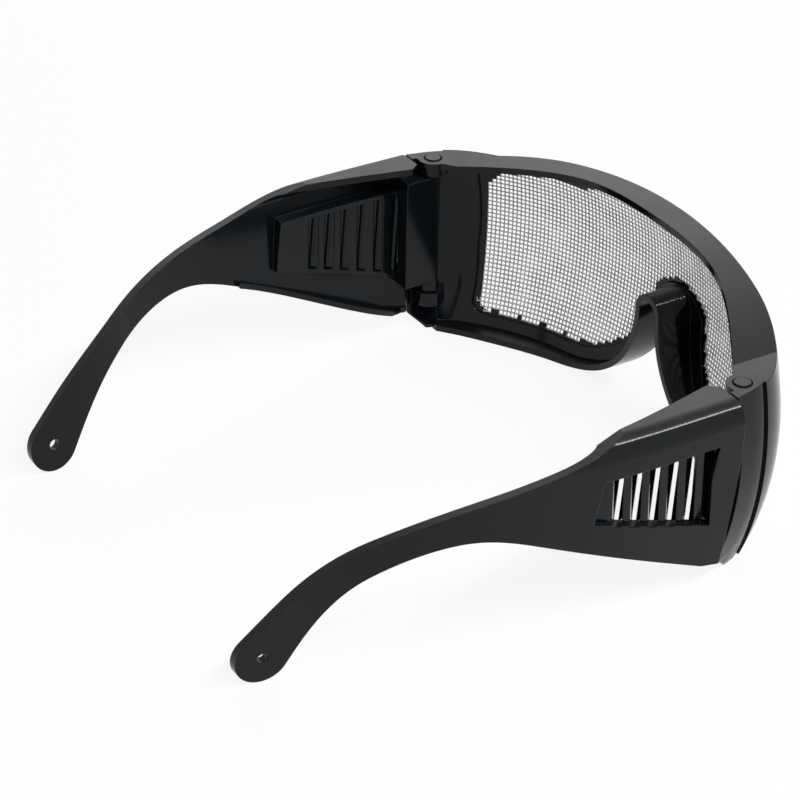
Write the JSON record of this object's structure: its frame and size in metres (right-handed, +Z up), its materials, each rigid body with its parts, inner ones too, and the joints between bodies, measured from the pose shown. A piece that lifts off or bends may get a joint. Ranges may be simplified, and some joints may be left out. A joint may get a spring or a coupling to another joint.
{
  "type": "mesh safety goggles",
  "caption": "Wrap-round safety goggles with a curved wire mesh behind the window, a nose notch, and deep folding temple arms with louvred side vents and cord holes.",
  "frame": {"origin": "centre of the bounding box at the level of the table the open goggles stand on", "axes": "+Z up, -Y the way the wearer looks, +X towards the wearer's left; arms run back along +Y"},
  "size_m": [0.1582, 0.168, 0.0602],
  "materials": {
    "frame_plastic": "black moulded plastic, satin gloss",
    "arm_plastic": "black moulded plastic, gloss",
    "mesh_metal": "fine woven steel wire, dark grey coated",
    "pin_plastic": "black moulded pin"
  },
  "bodies": {
    "front": {"front_frame": "frame_plastic", "mesh_lens": "mesh_metal", "left_hinge_pin": "pin_plastic", "right_hinge_pin": "pin_plastic"},
    "left_temple": {"left_arm": "arm_plastic"},
    "right_temple": {"right_arm": "arm_plastic"}
  },
  "joints": [
    {"name": "left_arm_fold", "type": "hinge", "parent": "front", "child": "left_temple", "pos_m": [0.0698, -0.04775, 0.03], "axis": [0, 0, 1], "range_deg": [0, 82]},
    {"name": "right_arm_fold", "type": "hinge", "parent": "front", "child": "right_temple", "pos_m": [-0.0698, -0.04775, 0.03], "axis": [0, 0, -1], "range_deg": [0, 71]}
  ]
}
